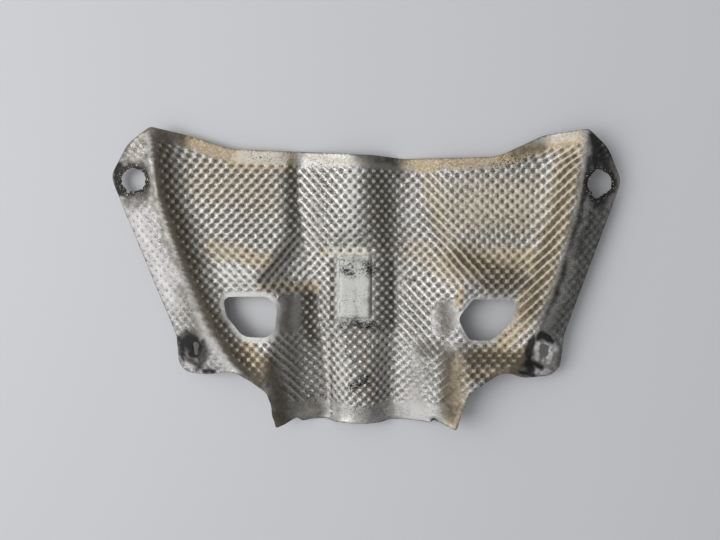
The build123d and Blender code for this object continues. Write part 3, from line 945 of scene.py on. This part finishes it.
# Embossing pushed along the sheet's own normal, the nubs higher than the pits are deep
emboss = bpy.data.node_groups.new("embossSheet", "GeometryNodeTree")
emboss.interface.new_socket("Geometry", in_out="INPUT", socket_type="NodeSocketGeometry")
for name, value in embossForm.items():
    emboss.interface.new_socket(name, in_out="INPUT", socket_type="NodeSocketFloat").default_value = value
emboss.interface.new_socket("Metal", in_out="INPUT", socket_type="NodeSocketMaterial")
emboss.interface.new_socket("Geometry", in_out="OUTPUT", socket_type="NodeSocketGeometry")


def readValue(name, dataType="FLOAT"):
    reader = place(emboss, "GeometryNodeInputNamedAttribute", {"Name": name}, data_type=dataType)
    return reader.outputs["Attribute"]


given = emboss.nodes.new("NodeGroupInput")
turns = calc(emboss, "DIVIDE", math.tau, given.outputs["Pitch"])
waveInputs = [readValue(name) for name in ("embossU", "embossV", "embossLean", "embossCup", "embossFlat")]
pushed = calc(emboss, "MULTIPLY", embossWave(emboss, *waveInputs[:2], turns, *waveInputs[2:]),
              readValue("embossPush"))
push = calc(emboss, "MULTIPLY", pushed, given.outputs["Depth"])
outward = readValue("sheetNormal", "FLOAT_VECTOR")
offset = place(emboss, "ShaderNodeVectorMath", {0: outward}, operation="SCALE")
emboss.links.new(push, offset.inputs["Scale"])
moved = place(emboss, "GeometryNodeSetPosition",
              {"Geometry": given.outputs["Geometry"], "Offset": offset.outputs[0]})
held = place(emboss, "GeometryNodeInputPosition").outputs[0]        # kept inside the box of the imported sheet
held = calc(emboss, "MAXIMUM", held, (low[0], low[1], 0), kind="ShaderNodeVectorMath")
held = calc(emboss, "MINIMUM", held, tuple(high), kind="ShaderNodeVectorMath")
laid = place(emboss, "GeometryNodeSetPosition", {"Geometry": moved.outputs[0], "Position": held})
real = place(emboss, "GeometryNodeRealizeInstances", {"Geometry": laid.outputs[0]})
coated = place(emboss, "GeometryNodeSetMaterial",
               {"Geometry": real.outputs[0], "Material": given.outputs["Metal"]})
place(emboss, "NodeGroupOutput", {"Geometry": coated.outputs[0]})

press = shieldSheet.modifiers.new("embossing", "NODES")
press.node_group = emboss
pressValues = {**embossForm, "Metal": sheetMetal}
for item in emboss.interface.items_tree:
    if item.in_out == "INPUT" and item.name in pressValues:
        press[item.identifier] = pressValues[item.name]
pressed = bpy.data.meshes.new_from_object(shieldSheet.evaluated_get(bpy.context.evaluated_depsgraph_get()))
shieldSheet.modifiers.remove(press)
shieldSheet.data = pressed
pressed.shade_smooth()
pressed.set_sharp_from_angle(angle=math.radians(55))
pressed.name = "shieldSheet"
print("pressed", len(pressed.polygons), "triangles")

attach(shieldSheet, "root")
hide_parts("heat_shield")

# Floor, light and camera
floorForm = {"half": 3, "colour": (0.70, 0.70, 0.72, 1), "roughness": 0.8}
half = floorForm["half"]
floorMesh = bpy.data.meshes.new("floor")
floorCorners = [(-half, -half, 0), (half, -half, 0), (half, half, 0), (-half, half, 0)]
floorMesh.from_pydata(floorCorners, [], [(0, 1, 2, 3)])
floor = bpy.data.objects.new("floor", floorMesh)
scene.collection.objects.link(floor)
floorPaint = bpy.data.materials.new("paleFloor")
floorPaint.use_nodes = True
floorShader = floorPaint.node_tree.nodes["Principled BSDF"]
floorShader.inputs["Base Color"].default_value = floorForm["colour"]
floorShader.inputs["Roughness"].default_value = floorForm["roughness"]
floorMesh.materials.append(floorPaint)

studio = {
    "place": (-1.25, 0.22, 1.50), "size": (1.2, 1.2), "power": 17.0,
    "airFrom": (-0.70, 0.15, 0.68), "airBright": 1.12, "airDim": 0.095, "airFocus": 5,
    "airTint": (0.96, 0.98, 1, 1),
}
lamp = bpy.data.lights.new("window", "AREA")
lamp.shape, lamp.energy = "RECTANGLE", studio["power"]
lamp.size, lamp.size_y = studio["size"]
window = bpy.data.objects.new("window", lamp)
window.location = studio["place"]
window.rotation_euler = Vector(studio["place"]).to_track_quat("Z", "Y").to_euler()
scene.collection.objects.link(window)

# Air of the room: brightest on the window's side, dim on the far side
world = bpy.data.worlds.new("studioAir")
world.use_nodes = True
air = world.node_tree
toAir = tuple(Vector(studio["airFrom"]).normalized())
lookTo = place(air, "ShaderNodeTexCoord").outputs["Generated"]
facing = place(air, "ShaderNodeVectorMath", {0: lookTo, 1: toAir}, operation="DOT_PRODUCT").outputs["Value"]
lobe = calc(air, "POWER", calc(air, "MULTIPLY_ADD", facing, 0.5, 0.5), studio["airFocus"])
level = calc(air, "MULTIPLY_ADD", lobe, studio["airBright"], studio["airDim"])
air.nodes["Background"].inputs["Color"].default_value = studio["airTint"]
air.links.new(level, air.nodes["Background"].inputs["Strength"])
scene.world = world

cameraData = bpy.data.cameras.new("photoCamera")
cameraData.lens, cameraData.sensor_width = photoView["lens"], photoView["sensor"]
camera = bpy.data.objects.new("photoCamera", cameraData)
camera.location = photoView["place"]
camera.rotation_euler = (photoView["tilt"], 0, 0)
scene.collection.objects.link(camera)
scene.camera = camera
